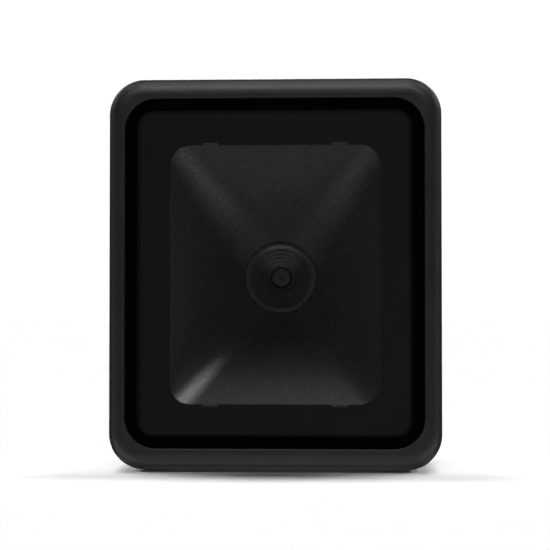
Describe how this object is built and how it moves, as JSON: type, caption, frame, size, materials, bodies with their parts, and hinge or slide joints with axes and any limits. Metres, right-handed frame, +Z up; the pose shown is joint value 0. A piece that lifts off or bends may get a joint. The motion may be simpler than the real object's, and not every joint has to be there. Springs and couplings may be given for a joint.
{
  "type": "desktop barcode scanner",
  "caption": "Upright box-form desktop barcode scanner with a rounded black case, a flush bordered window, a funnel-shaped optical chamber with stepped lens hood, rubber feet and a rear socket.",
  "frame": {"origin": "under the middle of the object, on the surface that its feet stand on", "axes": "+Z up, +Y from the window towards the back, +X to the right of someone facing the window"},
  "size_m": [0.127, 0.08, 0.15],
  "materials": {
    "case_plastic": "satin black moulded case with a fine spark-eroded grain",
    "button_plastic": "smooth satin dark grey plastic",
    "window_glass": "clear hard-coated pane, slightly smoked",
    "black_adhesive": "dead black foam adhesive under the pane",
    "smoked_diffuser": "dark smoked matte diffuser plate",
    "chamber_plastic": "black plastic with a coarse matte grain",
    "barrel_metal": "black anodised metal with fine turning marks",
    "lens_glass": "coated optical glass with an olive tint",
    "filter_glass": "infrared blocking glass",
    "holder_plastic": "black glass-filled plastic",
    "chip_plastic": "black moulded chip package",
    "circuit_board": "green solder mask on laminate",
    "emitter_plastic": "white package with a yellow phosphor window",
    "shield_steel": "tin-plated folded steel",
    "capacitor_aluminium": "bright drawn aluminium",
    "socket_plastic": "black moulded connector plastic",
    "gold_contacts": "gold-plated spring contacts",
    "connector_plastic": "ivory ribbon connector plastic",
    "ribbon_film": "white polyester flat ribbon",
    "insert_brass": "knurled turned brass",
    "label_film": "blank silver-grey polyester label",
    "black_screws": "black-plated cross-head screws",
    "bright_screws": "zinc-plated cross-head screws",
    "foot_rubber": "matt black rubber feet"
  },
  "bodies": {
    "case": {"front_housing": "case_plastic", "rear_housing": "case_plastic", "window_panel": "window_glass", "window_adhesive": "black_adhesive", "diffuser_plate": "smoked_diffuser", "light_chamber": "chamber_plastic", "lens_hood": "chamber_plastic", "lens_barrel": "barrel_metal", "lens_front_element": "lens_glass", "lens_rear_element": "lens_glass", "ir_filter": "filter_glass", "lens_holder": "holder_plastic", "image_sensor": "chip_plastic", "camera_board": "circuit_board", "illumination_board": "circuit_board", "main_board": "circuit_board", "button_board": "circuit_board", "illumination_leds": "emitter_plastic", "status_led": "emitter_plastic", "processor": "chip_plastic", "memory_chip": "chip_plastic", "shield_can": "shield_steel", "board_capacitors": "capacitor_aluminium", "interface_socket": "socket_plastic", "socket_contacts": "gold_contacts", "buzzer": "holder_plastic", "button_switch": "holder_plastic", "camera_connectors": "connector_plastic", "button_connectors": "connector_plastic", "light_connectors": "connector_plastic", "camera_ribbon": "ribbon_film", "button_ribbon": "ribbon_film", "light_ribbon": "ribbon_film", "mounting_inserts": "insert_brass", "rating_label": "label_film", "housing_screws": "black_screws", "chamber_screws": "bright_screws", "hood_screws": "bright_screws", "camera_screws": "bright_screws", "holder_screws": "bright_screws", "main_board_screws": "bright_screws", "button_board_screws": "bright_screws", "foot_front_left": "foot_rubber", "foot_front_right": "foot_rubber", "foot_rear_left": "foot_rubber", "foot_rear_right": "foot_rubber"},
    "button": {"function_button": "button_plastic", "switch_plunger": "button_plastic"}
  },
  "joints": [
    {"name": "button_press", "type": "slide", "parent": "case", "child": "button", "axis": [0, -1, 0], "range_m": [0, 0.0007], "stiffness_N_per_m": 2000, "springref_m": -0.0003}
  ]
}
